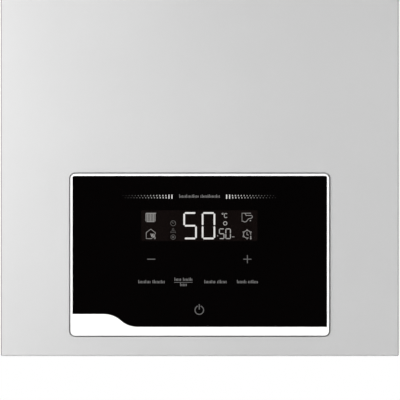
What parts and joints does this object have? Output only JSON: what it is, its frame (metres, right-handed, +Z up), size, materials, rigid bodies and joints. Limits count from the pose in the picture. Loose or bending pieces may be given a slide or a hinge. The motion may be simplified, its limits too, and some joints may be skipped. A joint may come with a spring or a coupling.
{
  "type": "combi boiler",
  "caption": "Wall-hung condensing combi boiler with a grey sheet-metal casing, a glass control panel low on the front, a concentric flue collar on top and pipe tails underneath.",
  "frame": {"origin": "on the wall plane, midway between the two fixing holes of the wall bracket", "axes": "+Z up, +Y into the wall, -Y towards the front of the casing, +X to the viewer's right"},
  "size_m": [0.42, 0.3215, 0.753],
  "materials": {
    "casing_paint": "satin",
    "galvanised": "satin",
    "stainless": "satin",
    "seal_rubber": "matte",
    "white_plastic": "gloss",
    "panel_glass": "gloss",
    "display_dark": "gloss",
    "board_green": "satin",
    "grey_plastic": "matte",
    "black_plastic": "matte",
    "cast_aluminium": "satin",
    "ceramic_fibre": "matte",
    "electrode_ceramic": "satin",
    "copper": "satin",
    "brass": "satin",
    "zinc_steel": "satin",
    "vessel_red": "satin",
    "pump_cast": "matte",
    "red_plastic": "matte",
    "blue_plastic": "matte",
    "clear_grey": "satin",
    "hose_black": "matte",
    "white_flue": "satin"
  },
  "bodies": {
    "chassis": {"wall_bracket": "galvanised", "hanger_hooks": "galvanised", "back_panel": "galvanised", "side_panel_left": "casing_paint", "side_panel_right": "casing_paint", "top_plate": "casing_paint", "base_plate": "galvanised", "cover_seal": "seal_rubber", "panel_frame": "white_plastic", "panel_glass": "panel_glass", "display_module": "display_dark", "touch_board": "board_green", "control_box": "grey_plastic", "main_board": "board_green", "heat_exchanger_shell": "stainless", "heat_exchanger_coil": "stainless", "burner_door": "cast_aluminium", "door_nuts": "zinc_steel", "door_insulation": "ceramic_fibre", "burner_tube": "stainless", "ignition_electrode": "electrode_ceramic", "flame_sensor": "electrode_ceramic", "fan_housing": "cast_aluminium", "fan_motor": "black_plastic", "air_gas_mixer": "black_plastic", "intake_silencer": "black_plastic", "flue_duct": "white_flue", "flue_adapter": "white_flue", "gas_valve": "cast_aluminium", "gas_riser_pipe": "zinc_steel", "gas_supply_pipe": "copper", "flow_manifold": "black_plastic", "diverter_actuator": "grey_plastic", "return_manifold": "black_plastic", "plate_heat_exchanger": "stainless", "pump_body": "black_plastic", "pump_motor": "pump_cast", "air_vent": "brass", "flow_sensor": "clear_grey", "relief_valve": "brass", "pressure_sensor": "brass", "heating_flow_tail": "copper", "heating_return_tail": "copper", "domestic_tails": "copper", "water_pipes": "copper", "expansion_vessel": "vessel_red", "expansion_hose": "hose_black", "condensate_trap": "clear_grey", "condensate_lines": "hose_black", "electrical_fittings": "black_plastic"},
    "cover": {"front_cover": "casing_paint", "cover_pins": "zinc_steel"},
    "fan_wheel": {"fan_impeller": "cast_aluminium"},
    "pump_wheel": {"pump_impeller": "grey_plastic"},
    "turbine": {"flow_turbine": "blue_plastic"},
    "diverter": {"diverter_stem": "brass"},
    "relief_handle": {"relief_knob": "red_plastic"},
    "filling_handle": {"filling_knob": "blue_plastic"},
    "vent_cap": {"air_vent_cap": "black_plastic"},
    "trap_bowl": {"trap_cup": "clear_grey"}
  },
  "joints": [
    {"name": "front_cover_slide", "type": "slide", "parent": "chassis", "child": "cover", "axis": [0, -1, 0], "range_m": [0, 0.35]},
    {"name": "fan_spin", "type": "hinge", "parent": "chassis", "child": "fan_wheel", "pos_m": [0.125, -0.252, -0.15], "axis": [0, 1, 0], "continuous": true},
    {"name": "pump_spin", "type": "hinge", "parent": "chassis", "child": "pump_wheel", "pos_m": [0.13, -0.15, -0.512], "axis": [0, 1, 0], "continuous": true},
    {"name": "flow_turbine_spin", "type": "hinge", "parent": "chassis", "child": "turbine", "pos_m": [0.065, -0.11, -0.605], "axis": [0, 0, 1], "continuous": true},
    {"name": "diverter_stem_slide", "type": "slide", "parent": "chassis", "child": "diverter", "axis": [0, 0, 1], "range_m": [0, 0.008]},
    {"name": "relief_knob_turn", "type": "hinge", "parent": "chassis", "child": "relief_handle", "pos_m": [0.085, -0.185, -0.575], "axis": [0, -1, 0], "range_deg": [0, 90]},
    {"name": "filling_knob_turn", "type": "hinge", "parent": "chassis", "child": "filling_handle", "pos_m": [0.0975, -0.11, -0.606], "axis": [0, 0, -1], "range_deg": [0, 90]},
    {"name": "air_vent_cap_turn", "type": "hinge", "parent": "chassis", "child": "vent_cap", "pos_m": [0.16, -0.11, -0.432], "axis": [0, 0, 1], "range_deg": [0, 180]},
    {"name": "trap_cup_slide", "type": "slide", "parent": "chassis", "child": "trap_bowl", "axis": [0, 0, -1], "range_m": [0, 0.06]}
  ]
}
